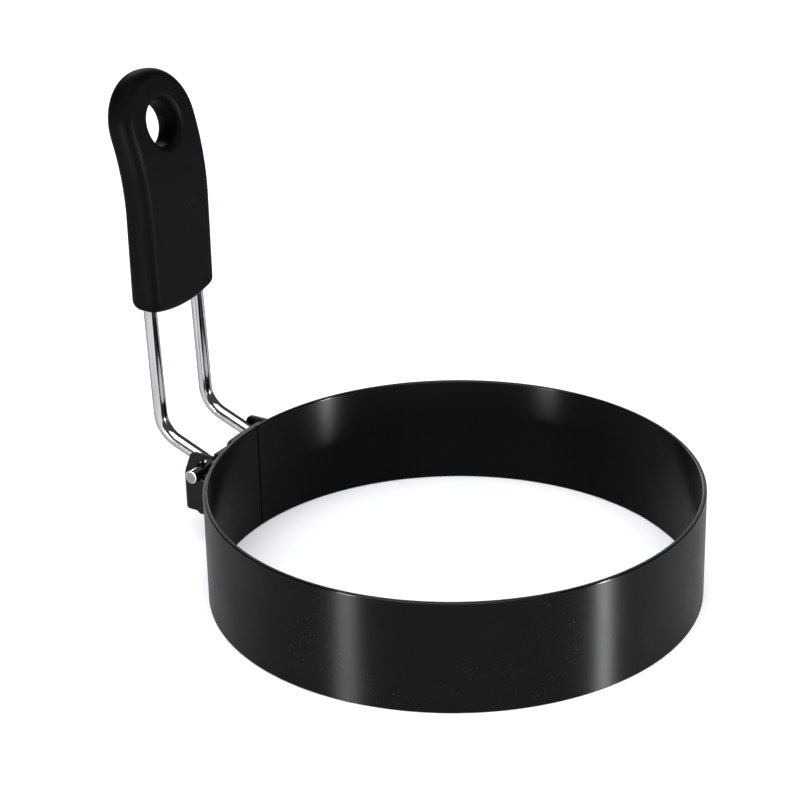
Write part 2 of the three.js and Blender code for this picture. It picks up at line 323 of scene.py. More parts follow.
# %% Draw the ears' plate
EAR_TOP = 0.01845
WINDOW_FLOOR = 0.01285
SKIRT_FOOT = 0.0061
SKIRT_CORNER = 0.0008
FOOT_STEP = 0.0005
LIP_TOP = 0.0134
LIP_STEP = 0.00025
STEP_ABOVE_LIP = 0.0001
SHOULDER_INSET = 0.0019
SHOULDER_DROP = 0.001
SHOULDER_START = math.radians(165)
JAW_TIP_OFF = 0.0014
TOOL_SPAN = 0.012

reach_x = RING_X - RING_RADIUS + SHEET
tip = Vector((RING_X - RING_RADIUS - JAW_TIP_OFF, EAR_TOP))
to_tip = tip - Vector((pin.x, pin.z))
touch = math.atan2(to_tip.y, to_tip.x) + math.acos(SEAT_RADIUS / to_tip.length)
step_x = pin.x - SEAT_RADIUS
step_z = LIP_TOP + STEP_ABOVE_LIP
wall_foot = SKIRT_FOOT + FOOT_STEP
corner = (ear_outer_x + SKIRT_CORNER, wall_foot + SKIRT_CORNER)
crown = (ear_outer_x + SHOULDER_INSET + SHOULDER_DROP, EAR_TOP - SHOULDER_DROP)
ear_outline = [(reach_x, SKIRT_FOOT), (step_x, SKIRT_FOOT), (step_x - FOOT_STEP, wall_foot)]
ear_outline += arc(corner, SKIRT_CORNER, 3 * RIGHT_ANGLE, 2 * RIGHT_ANGLE, FOLD_STEPS)
ear_outline += [(ear_outer_x, step_z), (ear_outer_x + LIP_STEP, step_z)]
ear_outline += arc(crown, SHOULDER_DROP, SHOULDER_START, RIGHT_ANGLE, FOLD_STEPS)
ear_outline += [tuple(tip)]
ear_outline += arc((pin.x, pin.z), SEAT_RADIUS, touch, math.pi, 2 * FOLD_STEPS)
ear_outline += [(step_x, WINDOW_FLOOR), (reach_x, WINDOW_FLOOR)]
press_tool = plate(
    "press tool", ear_outline, lambda x, z: Vector((x, -TOOL_SPAN, z)), 2 * TOOL_SPAN * Y_AXIS
)
report(press_tool)

# %% [markdown]
# The tab's outline is seen from the front: a plain plate with two rounded upper corners, of which
# the second is the first one mirrored. Its foot lies inside the ears' plate, so that the two join
# into one tool.

# %% Draw the tab's plate and join the two
TAB_TOP = 0.02
TAB_HALF = 0.00555
TAB_CORNER = 0.0008

middle = (SKIRT_FOOT + WINDOW_FLOOR) / 2
tab_corner = (TAB_HALF - TAB_CORNER, TAB_TOP - TAB_CORNER)
tab_outline = [(-TAB_HALF, middle), (TAB_HALF, middle)]
tab_outline += arc(tab_corner, TAB_CORNER, 0, RIGHT_ANGLE, FOLD_STEPS)
tab_outline += [(-y, z) for y, z in reversed(tab_outline[2:])]
tab_x = RING_X - base_radius - SHEET
tab_tool = plate(
    "tab tool", tab_outline, lambda y, z: Vector((tab_x, y, z)), (reach_x - tab_x) * X_AXIS
)
cut(press_tool, tab_tool, "UNION")
report(press_tool)

# %% [markdown]
# The folded strip keeps only what the press tool covers. A block then takes away the folds above
# the lips. The outline's small step lies a hair above the lips' top, because two cutters that
# share a plane leave stray faces there.

# %% Press the bracket to its outline
cut(bracket, press_tool, "INTERSECT")

fresh()
bpy.ops.mesh.primitive_cube_add(size=UNIT)
block = bpy.context.object
between_ears = 2 * (EAR_Y - SHEET / 2)
block.scale = (SHEET + FOLD_RADIUS + SHEET, between_ears, EAR_TOP - LIP_TOP + SHEET)
block.location = (ear_outer_x - SHEET + block.scale.x / 2, 0, LIP_TOP + block.scale.z / 2)
cut(bracket, settle("lip cutter"), "DIFFERENCE")
report(bracket)

# %% [markdown]
# The coating softens every edge a little. A bevel would be the usual way, but it can't run past
# the very short edges where folds and outline cross. So the sheet is given one skin of even small
# faces, which is smoothed a few times.

# %% Soften the bracket's edges
COAT_CELL = 0.000125
SOFTENING = 0.5
SOFT_PASSES = 4


def even_skin(piece, cell):
    """Turn a piece into one skin of even small faces, and soften its edges."""
    modify(piece, "REMESH", mode="VOXEL", voxel_size=cell, use_smooth_shade=True)
    modify(piece, "SMOOTH", factor=SOFTENING, iterations=SOFT_PASSES)


even_skin(bracket, COAT_CELL)
report(bracket)

# %% [markdown]
# ## The handle
#
# The handle is a single bright wire. A curve with a round bevel would be quicker, but bending the
# wire as its maker does keeps every straight exactly straight and every bend a true arc. Half of
# it is bent, from the tip of one pin to the middle of the closed top, and mirrored later. First
# comes its line: the pin, the lower leg that rises to the elbow, and the long upper leg, which
# leans a little.

# %% Measure the handle's line
WIRE_RADIUS = 0.00125
LEG_Y = 0.00715
LEG_LEAN = math.radians(2.3)
ELBOW_OUT = 0.01105
ELBOW_RISE = 0.0044
ELBOW_BEND = 0.0055

wire_low, wire_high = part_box("handle_wire")
pin_end = wire_high.y
top_z = wire_high.z - WIRE_RADIUS
elbow = Vector((pin.x - ELBOW_OUT, 0, PIN_Z + ELBOW_RISE))
rise = math.atan2(ELBOW_RISE, ELBOW_OUT)
lower = Vector((-math.cos(rise), 0, math.sin(rise)))
lower_normal = Vector((math.sin(rise), 0, math.cos(rise)))
upper = Vector((-math.sin(LEG_LEAN), 0, math.cos(LEG_LEAN)))
elbow_turn = lower.angle(upper)
elbow_reach = ELBOW_BEND * math.tan(elbow_turn / 2)
lower_length = math.hypot(ELBOW_OUT, ELBOW_RISE)
leg_length = (top_z - elbow.z) / math.cos(LEG_LEAN)
print(f"wire from z {wire_low.z:.4f} to {wire_high.z:.4f}, upper leg {leg_length:.4f} long")

# %% [markdown]
# The bending starts from a disc at the pin's tip. Each straight is an extrusion and each bend a
# spin. The face at the end of the last straight is deleted, so that the two halves can join there
# into one tube.

# %% Bend half of the wire
WIRE_SIDES = 32
BEND_STEPS = 12
PIN_BEND = 0.002
BOW_BEND = 0.0052

fresh()
bpy.ops.mesh.primitive_circle_add(
    vertices=WIRE_SIDES,
    radius=WIRE_RADIUS,
    fill_type="NGON",
    location=(pin.x, -pin_end, PIN_Z),
    rotation=(RIGHT_ANGLE, 0, 0),
)
wire = settle("wire_handle")
edit()
draw_out((0, pin_end - LEG_Y - PIN_BEND, 0))
pin_bend_start = pin - (LEG_Y + PIN_BEND) * Y_AXIS
turn(RIGHT_ANGLE, pin_bend_start + PIN_BEND * lower, lower_normal, BEND_STEPS)
draw_out((lower_length - PIN_BEND - elbow_reach) * lower)
bend_start = elbow - LEG_Y * Y_AXIS - elbow_reach * lower
turn(elbow_turn, bend_start + ELBOW_BEND * lower_normal, Y_AXIS, BEND_STEPS)
draw_out((leg_length - elbow_reach - BOW_BEND) * upper)
bow_start = elbow - LEG_Y * Y_AXIS + (leg_length - BOW_BEND) * upper
turn(RIGHT_ANGLE, bow_start + BOW_BEND * Y_AXIS, upper.cross(Y_AXIS), BEND_STEPS)
draw_out((0, LEG_Y - BOW_BEND, 0))
bpy.ops.mesh.delete(type="ONLY_FACE")
bpy.ops.object.mode_set(mode="OBJECT")
report(wire)

# %% [markdown]
# The cut end of the pin gets a small chamfer, which catches the light. It is the only face with as
# many corners as the wire has sides, so it can be picked by counting, with nobody there to click
# on it. The half is then mirrored, and its seam is merged.

# %% Chamfer the pin and mirror the half
PIN_CHAMFER = 0.00022
CHAMFER_STEPS = 2
MIRROR_MERGE = 0.00001


def pick(piece, kind, test):
    """Open a piece in edit mode with only the edges or faces that pass a test selected."""
    fresh()
    bpy.context.view_layer.objects.active = piece
    edit()
    bpy.ops.mesh.select_mode(type=kind)
    bpy.ops.mesh.select_all(action="DESELECT")
    bpy.ops.object.mode_set(mode="OBJECT")
    for part in piece.data.edges if kind == "EDGE" else piece.data.polygons:
        part.select = test(part)
    bpy.ops.object.mode_set(mode="EDIT")


pick(wire, "FACE", lambda face: len(face.vertices) == WIRE_SIDES)
bpy.ops.mesh.bevel(offset=PIN_CHAMFER, segments=CHAMFER_STEPS, affect="EDGES")
bpy.ops.mesh.select_mode(type="VERT")
bpy.ops.object.mode_set(mode="OBJECT")
modify(wire, "MIRROR", use_axis=(False, True, False), use_clip=True, merge_threshold=MIRROR_MERGE)
choose(wire)
edit()
finish_surface()
smooth(wire, SHARP)
report(wire)

# %% [markdown]
# ## The grip
#
# The grip is moulded silicone, so it has no sharp edge anywhere. It could be sculpted, but a drawn
# outline keeps its width true: a slightly sagging foot, two straight sides that widen upward, and
# a round head. The outline is drawn flat first, and given its thickness.

# %% Draw the flat grip
GRIP_LENGTH = 0.0447
GRIP_THICKNESS = 0.0067
FOOT_HALF = 0.0095
FOOT_SAG = 0.0016
FOOT_CORNER = 0.0021
HEAD_RADIUS = 0.0101
EDGE_WIDTH = 0.0019
EDGE_DEPTH = 0.0029
ARC_STEPS = 24
EDGE_STEPS = 8

head_z = GRIP_LENGTH - HEAD_RADIUS
foot_radius = (FOOT_HALF**2 + FOOT_SAG**2) / (2 * FOOT_SAG)
corner_y = FOOT_HALF - FOOT_CORNER
corner_z = foot_radius - math.sqrt((foot_radius - FOOT_CORNER) ** 2 - corner_y**2)
corner_angle = math.atan2(corner_z - foot_radius, corner_y)
far_angle = -math.pi - corner_angle
splay = math.asin((HEAD_RADIUS - FOOT_HALF) / (head_z - corner_z))
left_corner, right_corner = (-corner_y, corner_z), (corner_y, corner_z)
grip_outline = arc((0, foot_radius), foot_radius, far_angle, corner_angle, ARC_STEPS)
grip_outline += arc(right_corner, FOOT_CORNER, corner_angle, -splay, EDGE_STEPS)[1:]
grip_outline += arc((0, head_z), HEAD_RADIUS, -splay, math.pi + splay, 2 * ARC_STEPS)
far_angle += 2 * math.pi
grip_outline += arc(left_corner, FOOT_CORNER, math.pi + splay, far_angle, EDGE_STEPS)[:-1]
flat_half = GRIP_THICKNESS / 2 * EDGE_WIDTH / EDGE_DEPTH
grip = plate(
    "soft_grip", grip_outline, lambda y, z: Vector((-flat_half, y, z)), 2 * flat_half * X_AXIS
)
report(grip)

# %% [markdown]
# The grip's edges are rounded more deeply than widely, and a bevel is only ever round. So the flat
# grip was made thinner than it should be, in just that proportion. Its edges are bevelled, and the
# whole is then stretched to its real thickness.

# %% Round the grip's edges
def on_one_face(edge):
    """Tell whether an edge runs round the front or the back, and not through the thickness."""
    first, second = (grip.data.vertices[i].co for i in edge.vertices)
    return abs(first.x - second.x) < MERGE


pick(grip, "EDGE", on_one_face)
bpy.ops.mesh.bevel(offset=EDGE_WIDTH, segments=EDGE_STEPS, affect="EDGES")
bpy.ops.mesh.select_mode(type="VERT")
bpy.ops.mesh.select_all(action="SELECT")
bpy.ops.transform.resize(value=(EDGE_DEPTH / EDGE_WIDTH, 1, 1), center_override=(0, 0, 0))
finish_surface()
report(grip)

# %% [markdown]
# The hole's cutter is a spool: a drawn profile turned all the way round, wider at both ends, so
# that the hole is straight in its middle and rounded at both faces. It is stretched by as much as
# the taper will thin it later. The two mouths are short wells round the wire, where the soft skin
# stands off it. All are cut while the grip is still flat. A remesh then turns the whole into one
# even skin, as soft at the hole as at the edges.

# %% Cut the hole and the wells, and make one skin
HEAD_THICKNESS = 0.0057
HOLE_RADIUS = 0.00415
HOLE_STRAIGHT = 0.0031
HOLE_STEPS = 48
MOUTH_GAP = 0.00028
MOUTH_DEPTH = 0.0017
VOXEL = 0.00022


def spool(name, outline, place, centre, axis):
    """Draw an open profile from axis to axis and turn it all the way round."""
    draw_points([place(*p) for p in outline])
    turn(2 * math.pi, centre, axis, HOLE_STEPS)
    finish_surface()
    return settle(name)


face = HEAD_THICKNESS / 2
flare = face - HOLE_STRAIGHT / 2
wide = HOLE_RADIUS + flare
stretch = GRIP_THICKNESS / HEAD_THICKNESS
hole_profile = [(-2 * face, 0), (-2 * face, wide)]
hole_profile += arc((flare - face, wide), flare, math.pi, 3 * RIGHT_ANGLE, EDGE_STEPS)
hole_profile += arc((face - flare, wide), flare, 3 * RIGHT_ANGLE, 2 * math.pi, EDGE_STEPS)
hole_profile += [(2 * face, wide), (2 * face, 0)]
hole_tool = spool(
    "hole tool",
    hole_profile,
    lambda x, r: Vector((stretch * x, 0, head_z + r)),
    (0, 0, head_z),
    X_AXIS,
)
cut(grip, hole_tool, "DIFFERENCE")
for side in (-1, 1):
    fresh()
    bpy.ops.mesh.primitive_cylinder_add(
        vertices=WIRE_SIDES,
        radius=WIRE_RADIUS + MOUTH_GAP,
        depth=2 * MOUTH_DEPTH,
        location=(0, side * LEG_Y, 0),
    )
    cut(grip, settle("well tool"), "DIFFERENCE")
even_skin(grip, VOXEL)
report(grip)

# %% [markdown]
# The mould for the real grip is curved, but a curve is easier to give to a finished shape. A
# taper thins it from the foot to the hole. A bend then acts on the middle stretch only, so that
# the foot stays straight round the wire and the head stays straight round its hole. The bend
# turns round the piece's own origin, so the piece is first moved to where the bend starts.

# %% Thin and bend the grip
BEND_START = 0.019
BEND_LENGTH = 0.015
BEND_ANGLE = math.radians(16)
GRIP_FOOT = 0.0429

modify(
    grip,
    "SIMPLE_DEFORM",
    deform_method="TAPER",
    deform_axis="Z",
    lock_y=True,
    factor=HEAD_THICKNESS / GRIP_THICKNESS - 1,
    limits=(0, head_z / GRIP_LENGTH),
)
grip.location = (0, 0, -BEND_START)
settle("soft_grip")
modify(
    grip,
    "SIMPLE_DEFORM",
    deform_method="BEND",
    deform_axis="Y",
    angle=-BEND_ANGLE,
    limits=(BEND_START / GRIP_LENGTH, (BEND_START + BEND_LENGTH) / GRIP_LENGTH),
)
foot_x = elbow.x - math.tan(LEG_LEAN) * (GRIP_FOOT - elbow.z)
grip.location = (foot_x, 0, GRIP_FOOT + BEND_START)
settle("soft_grip")
bpy.ops.object.shade_smooth()
report(grip)

# %% [markdown]
# ## What the finishes share
#
# Three effects come back in several finishes: the lines of rolled steel, the marks of handling,
# and dust. Each is a node group with named sockets that gives out plain masks, so that it is built
# once and placed in each finish with that finish's own values. All read Object coordinates, which
# stay put on the piece from every side.

# %% Helpers for shader trees
def feed(tree, target, value):
    """Link a socket to a target, or set the target to a value."""
    if isinstance(value, bpy.types.NodeSocket):
        tree.links.new(value, target)
    else:
        target.default_value = value


def add_node(tree, kind, result, *values, **named):
    """Add a node, feed its sockets by order or by name, and give back one output."""
    made = tree.nodes.new(kind)
    for target, value in zip(made.inputs, values):
        feed(tree, target, value)
    for key, value in named.items():
        feed(tree, made.inputs[key.replace("_", " ")], value)
    return made.outputs[result]


def combine(tree, operation, first, second=0.0):
    """Work on one number or two by an operation of the Math node."""
    out = add_node(tree, "ShaderNodeMath", "Value", first, second)
    out.node.operation = operation
    return out


def place_on_piece(tree, stretch):
    """Object coordinates, scaled along each axis."""
    place = add_node(tree, "ShaderNodeTexCoord", "Object")
    return add_node(tree, "ShaderNodeMapping", "Vector", Vector=place, Scale=stretch)


def spread(tree, value, start, end):
    """A smooth step from 0 at start to 1 at end."""
    out = add_node(
        tree, "ShaderNodeMapRange", "Result", Value=value, From_Min=start, From_Max=end
    )
    out.node.interpolation_type = "SMOOTHSTEP"
    return out


def new_group(name, inputs, outputs):
    """An empty node group with number sockets, and its two end nodes."""
    tree = bpy.data.node_groups.new(name, "ShaderNodeTree")
    for key, value in inputs.items():
        made = tree.interface.new_socket(name=key, in_out="INPUT", socket_type="NodeSocketFloat")
        made.default_value = value
    for key in outputs:
        tree.interface.new_socket(name=key, in_out="OUTPUT", socket_type="NodeSocketFloat")
    return tree, tree.nodes.new("NodeGroupInput").outputs, tree.nodes.new("NodeGroupOutput").inputs


# %% [markdown]
# Rolls leave fine lines along a strip, and they show through a thin coating. A picture of brushed
# metal would show a seam somewhere. A noise that is drawn out along the strip has none, and stays
# sharp however near one looks.

# %% Build the rolled lines
LINE_FINENESS = 3500.0
ALONG_RING = (0.02, 0.02, 1.0)
LINE_DETAIL = 4.0
LINE_BITE = 0.65

rolled, given, gives = new_group("Rolled Lines", {"Fineness": LINE_FINENESS}, ["Lines"])
lines = add_node(
    rolled,
    "ShaderNodeTexNoise",
    "Fac",
    Vector=place_on_piece(rolled, ALONG_RING),
    Scale=given["Fineness"],
    Detail=LINE_DETAIL,
    Roughness=LINE_BITE,
)
feed(rolled, gives["Lines"], lines)
print("group:", rolled.name)

# %% [markdown]
# Handling leaves soft clouds in the gloss, from fingers, and hair scratches, from storage. The
# clouds are a slow noise. The scratches are the borders between long, thin cells, kept only where
# the noise is strong, because scratches all over would look like a pattern.

# %% Build the handling marks
CLOUD_FINENESS = 90.0
CLOUD_DETAIL = 5.0
CLOUD_EDGES = (0.36, 0.68)
SCRATCH_FINENESS = 260.0
SCRATCH_STRETCH = (1.0, 0.12, 0.35)
SCRATCH_WIDTH = (0.012, 0.004)
SCRATCH_PATCH = (0.5, 0.62)
EVEN = (1.0, 1.0, 1.0)

handling, given, gives = new_group(
    "Handling Marks",
    {"Cloud Fineness": CLOUD_FINENESS, "Scratch Fineness": SCRATCH_FINENESS},
    ["Clouds", "Scratches"],
)
clouds = add_node(
    handling,
    "ShaderNodeTexNoise",
    "Fac",
    Vector=place_on_piece(handling, EVEN),
    Scale=given["Cloud Fineness"],
    Detail=CLOUD_DETAIL,
)
feed(handling, gives["Clouds"], spread(handling, clouds, *CLOUD_EDGES))
cells = add_node(
    handling,
    "ShaderNodeTexVoronoi",
    "Distance",
    Vector=place_on_piece(handling, SCRATCH_STRETCH),
    Scale=given["Scratch Fineness"],
)
cells.node.feature = "DISTANCE_TO_EDGE"
hairs = spread(handling, cells.node.outputs["Distance"], *SCRATCH_WIDTH)
patches = spread(handling, clouds, *SCRATCH_PATCH)
feed(handling, gives["Scratches"], combine(handling, "MULTIPLY", hairs, patches))
print("group:", handling.name)

# %% [markdown]
# Dust is a thin scatter of pale specks. Grains modelled one by one would cost far too many faces,
# so each speck is the heart of a small cell, and a slow noise keeps the specks to drifts.

# %% Build the dust
SPECK_FINENESS = 1500.0
SPECK_SIZE = (0.14, 0.05)
DRIFT_FINENESS = 60.0
DRIFT_EDGES = (0.5, 0.72)

dust, given, gives = new_group(
    "Dust", {"Speck Fineness": SPECK_FINENESS, "Drift Fineness": DRIFT_FINENESS}, ["Specks"]
)
even_place = place_on_piece(dust, EVEN)
grains = add_node(
    dust, "ShaderNodeTexVoronoi", "Distance", Vector=even_place, Scale=given["Speck Fineness"]
)
drifts = add_node(
    dust, "ShaderNodeTexNoise", "Fac", Vector=even_place, Scale=given["Drift Fineness"]
)
specks = combine(
    dust, "MULTIPLY", spread(dust, grains, *SPECK_SIZE), spread(dust, drifts, *DRIFT_EDGES)
)
feed(dust, gives["Specks"], specks)
print("group:", dust.name)

# %% [markdown]
# ## Finishes
#
# Each finish is one shader. What is the same all over a piece, such as how strongly it shines, is
# a plain number on the shader's own socket. What changes over the surface, such as its shade and
# its roughness, is mixed from the groups' masks.

# %% Helpers for finishes
def finish(name, **settings):
    """A new material with its plain numbers and colours set on the shader's own sockets."""
    made = bpy.data.materials.new(name)
    made.use_nodes = True
    shader = made.node_tree.nodes["Principled BSDF"]
    for key, value in settings.items():
        shader.inputs[key.replace("_", " ")].default_value = value
    return made, made.node_tree, shader.inputs


def use_group(tree, shared, result, **settings):
    """Place a shared group with this finish's own values."""
    made = tree.nodes.new("ShaderNodeGroup")
    made.node_tree = shared
    for key, value in settings.items():
        made.inputs[key.replace("_", " ")].default_value = value
    return made.outputs[result]


def blend(tree, mask, first, second, kind="Color"):
    """Go from a first colour, or number, to a second where a mask rises to 1."""
    made = tree.nodes.new("ShaderNodeMix")
    made.data_type = "RGBA" if kind == "Color" else "FLOAT"
    sockets = {socket.identifier: socket for socket in (*made.inputs, *made.outputs)}
    feed(tree, sockets["Factor_Float"], mask)
    feed(tree, sockets[f"A_{kind}"], first)
    feed(tree, sockets[f"B_{kind}"], second)
    return sockets[f"Result_{kind}"]


def scale_to(tree, value, low, high):
    """Turn a mask into a number from low to high."""
    return add_node(tree, "ShaderNodeMapRange", "Result", Value=value, To_Min=low, To_Max=high)


def weigh(tree, first, second, share):
    """Mix two masks, with a share given to the second."""
    kept = combine(tree, "MULTIPLY", first, 1 - share)
    return combine(tree, "ADD", kept, combine(tree, "MULTIPLY", second, share))


def raise_surface(tree, surface, height, depth, strength):
    """Feed the shader's normal with a bump, for relief too fine to model."""
    bumped = add_node(
        tree, "ShaderNodeBump", "Normal", Height=height, Distance=depth, Strength=strength
    )
    feed(tree, surface["Normal"], bumped)


# %% [markdown]
# The band and the bracket have the same thin black coating over rolled steel. It is nearly black
# and only half glossy. One plain roughness would look like plastic, so clouds, lines and scratches
# vary it a little, and the rolled lines also stand out as a very shallow relief.

# %% Mix the black coating
COATING_BLACK = (0.0011, 0.001, 0.0011, 1)
COATING_SHINE = 0.06
COATING_CLOUDS = 70.0
COATING_SCRATCHES = 170.0
DUST_GREY = (0.035, 0.034, 0.033, 1)
LINE_SHARE = 0.35
LINE_DEPTH = 0.000006
LINE_STRENGTH = 0.3
WORN_GREY = (0.0145, 0.014, 0.014, 1)
WORN_ROUGHNESS = 0.15


def coating(name, dull, uneven, worn_edges=None):
    """Black coating whose roughness varies between two values, with an uneven gloss."""
    made, tree, surface = finish(name, Specular_IOR_Level=COATING_SHINE, Anisotropic=uneven)
    lines = use_group(tree, rolled, "Lines")
    clouds = use_group(tree, handling, "Clouds", Cloud_Fineness=COATING_CLOUDS)
    scratches = use_group(tree, handling, "Scratches", Scratch_Fineness=COATING_SCRATCHES)
    specks = use_group(tree, dust, "Specks")
    shade = blend(tree, specks, COATING_BLACK, DUST_GREY)
    mask = combine(tree, "MAXIMUM", weigh(tree, clouds, lines, LINE_SHARE), scratches)
    gloss = scale_to(tree, mask, *dull)
    if worn_edges:
        wear = worn_edges(tree)
        shade = blend(tree, wear, shade, WORN_GREY)
        gloss = blend(tree, wear, gloss, WORN_ROUGHNESS, "Float")
        feed(tree, surface["Metallic"], wear)
    feed(tree, surface["Base Color"], shade)
    feed(tree, surface["Roughness"], gloss)
    raise_surface(tree, surface, lines, LINE_DEPTH, LINE_STRENGTH)
    return made, tree, surface


# %% [markdown]
# The rolled lines run round the band, so that a lamp draws out into a tall, narrow stripe across
# them. The gloss is uneven, sharp along the lines and blurred across, and it is turned round the
# ring's axis. The edges of both rims have lost some of their coating to pans and washing, and
# shine as thin lines. A mask finds them by their place, because the ring's sizes are known. The
# bracket's folds turn the lines every way, so its gloss is left even.

# %% Coat the band and the bracket
BAND_ROUGHNESS = (0.34, 0.42)
BAND_UNEVENNESS = 1.0
BRACKET_ROUGHNESS = (0.36, 0.48)
BRACKET_UNEVENNESS = 0.0
GLOSS_TURN = 0.25
EDGE_FADE = (1.0, 0.5)


def short_of(edge, width, shares):
    """Places that fall short of an edge by shares of a width."""
    return [edge - width * share for share in shares]


def rim_edges(tree):
    """The rounded edges of both rims, found by height and by distance from the ring's axis."""
    place = add_node(tree, "ShaderNodeTexCoord", "Object")
    offset = (-RING_X, 0, -RING_HEIGHT / 2)
    centred = add_node(tree, "ShaderNodeMapping", "Vector", Vector=place, Location=offset)
    split = add_node(tree, "ShaderNodeSeparateXYZ", "Z", centred)
    up = combine(tree, "ABSOLUTE", split)
    squares = [combine(tree, "POWER", split.node.outputs[key], 2) for key in ("X", "Y")]
    radius = combine(tree, "SQRT", combine(tree, "ADD", *squares))
    off_wall = combine(tree, "SUBTRACT", radius, RING_RADIUS - RING_WALL / 2)
    off_wall = combine(tree, "ABSOLUTE", off_wall)
    rims = spread(tree, up, *short_of(RING_HEIGHT / 2, RIM_ROUNDING, EDGE_FADE))
    sides = spread(tree, off_wall, *short_of(RING_WALL / 2, RIM_ROUNDING, EDGE_FADE))
    return combine(tree, "MULTIPLY", rims, sides)


band_finish, tree, surface = coating(
    "black coating on rolled strip", BAND_ROUGHNESS, BAND_UNEVENNESS, rim_edges
)
turned = add_node(tree, "ShaderNodeTangent", "Tangent")
turned.node.direction_type = "RADIAL"
turned.node.axis = "Z"
feed(tree, surface["Tangent"], turned)
surface["Anisotropic Rotation"].default_value = GLOSS_TURN
bracket_finish, tree, surface = coating(
    "black coating on folded sheet", BRACKET_ROUGHNESS, BRACKET_UNEVENNESS
)
print("coatings:", band_finish.name, "and", bracket_finish.name)

# %% [markdown]
# The wire is polished and plated, so it is a mirror with a grey tint, which is darker where the
# surface turns away. Drawing it through a die leaves lines along it, and it is a little duller
# where fingers have been. The ends of the pins are cut and not plated, so they are dull and grey.
# The small chamfer round each end is polished by the tool that made it, and shows as a bright
# ring. Both are found by their distance along the pin, so that one material does for the wire.

# %% Plate the wire
PLATING_BRIGHT = (0.42, 0.42, 0.43, 1)
PLATING_DULL = (0.30, 0.30, 0.30, 1)
PLATING_ROUGHNESS = (0.05, 0.13)
PLATING_CLOUDS = 160.0
EDGE_TINT = (0.12, 0.12, 0.12, 1)
CUT_GREY = (0.11, 0.11, 0.108, 1)
CUT_ROUGHNESS = 0.4
CUT_FADE = (0.1, 0.01)
CHAMFER_GREY = (0.5, 0.5, 0.5, 1)
CHAMFER_ROUGHNESS = 0.3
CHAMFER_FADE = (1.0, 0.9)
ALONG_WIRE = (1.0, 1.0, 0.02)
STREAK_FINENESS = 2200.0
STREAK_EDGES = (0.35, 0.65)
STREAK_SHARE = 0.6

wire_finish, tree, surface = finish("polished plating", Metallic=1.0, Specular_Tint=EDGE_TINT)
clouds = use_group(tree, handling, "Clouds", Cloud_Fineness=PLATING_CLOUDS)
streaks = add_node(
    tree,
    "ShaderNodeTexNoise",
    "Fac",
    Vector=place_on_piece(tree, ALONG_WIRE),
    Scale=STREAK_FINENESS,
)
mask = weigh(tree, clouds, spread(tree, streaks, *STREAK_EDGES), STREAK_SHARE)
plated = blend(tree, mask, PLATING_BRIGHT, PLATING_DULL)
gloss = scale_to(tree, mask, *PLATING_ROUGHNESS)
place = add_node(tree, "ShaderNodeTexCoord", "Object")
out_along_pin = combine(tree, "ABSOLUTE", add_node(tree, "ShaderNodeSeparateXYZ", "Y", place))
chamfers = spread(tree, out_along_pin, *short_of(pin_end, PIN_CHAMFER, CHAMFER_FADE))
plated = blend(tree, chamfers, plated, CHAMFER_GREY)
gloss = blend(tree, chamfers, gloss, CHAMFER_ROUGHNESS, "Float")
cut_ends = spread(tree, out_along_pin, *short_of(pin_end, PIN_CHAMFER, CUT_FADE))
feed(tree, surface["Base Color"], blend(tree, cut_ends, plated, CUT_GREY))
feed(tree, surface["Roughness"], blend(tree, cut_ends, gloss, CUT_ROUGHNESS, "Float"))
print("plating:", wire_finish.name)

# %% [markdown]
# The grip's silicone is dull, with a very fine texture from the mould. The texture is as fine as
# the mesh's own faces, so it is a bump and not a shape. Silicone draws dust more than anything else
# in a kitchen, so its specks are larger than those on the metal.

# %% Skin the grip
SILICONE_BLACK = (0.0006, 0.0006, 0.0008, 1)
SILICONE_SHINE = 0.02
SILICONE_ROUGHNESS = (0.5, 0.62)
SILICONE_SPECKS = 1100.0
SILICONE_CLOUDS = 110.0
MOULD_FINENESS = 5200.0
MOULD_DEPTH = 0.00002
MOULD_STRENGTH = 0.3

grip_finish, tree, surface = finish("matte silicone", Specular_IOR_Level=SILICONE_SHINE)
specks = use_group(tree, dust, "Specks", Speck_Fineness=SILICONE_SPECKS)
clouds = use_group(tree, handling, "Clouds", Cloud_Fineness=SILICONE_CLOUDS)
texture = add_node(
    tree,
    "ShaderNodeTexNoise",
    "Fac",
    Vector=place_on_piece(tree, EVEN),
    Scale=MOULD_FINENESS,
)
feed(tree, surface["Base Color"], blend(tree, specks, SILICONE_BLACK, DUST_GREY))
feed(tree, surface["Roughness"], scale_to(tree, clouds, *SILICONE_ROUGHNESS))
raise_surface(tree, surface, texture, MOULD_DEPTH, MOULD_STRENGTH)
print("silicone:", grip_finish.name)

# %% [markdown]
# ## Joining the fine pieces to the part
#
# Each fine piece stands for one solid, takes its finish and moves with its body, so the handle
# swings in the bracket as the solids do.

# %% Fit each piece to its solid
for piece, solid, body, slot, look in (
    (band, "ring_band", "ring", "band_coating", band_finish),
    (bracket, "hinge_bracket", "ring", "bracket_coating", bracket_finish),
    (wire, "handle_wire", "handle", "wire", wire_finish),
    (grip, "grip", "handle", "grip", grip_finish),
):
    piece.data.materials.clear()
    piece.data.materials.append(look)
    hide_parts(solid)
    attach(piece, body)
    print(f"{piece.name} stands for {solid} and moves with {body}")

# %% [markdown]
# ## Floor
#
# The part stands on a plain, pale floor, wide enough to reach past the view from every side. It
# has no gloss, so that it doesn't mirror the part or the lamps.

# %% Lay the floor
FLOOR_SIZE = 6.0
FLOOR_WHITE = (0.88, 0.88, 0.88, 1)
FLOOR_ROUGHNESS = 0.8
FLOOR_SHINE = 0.0

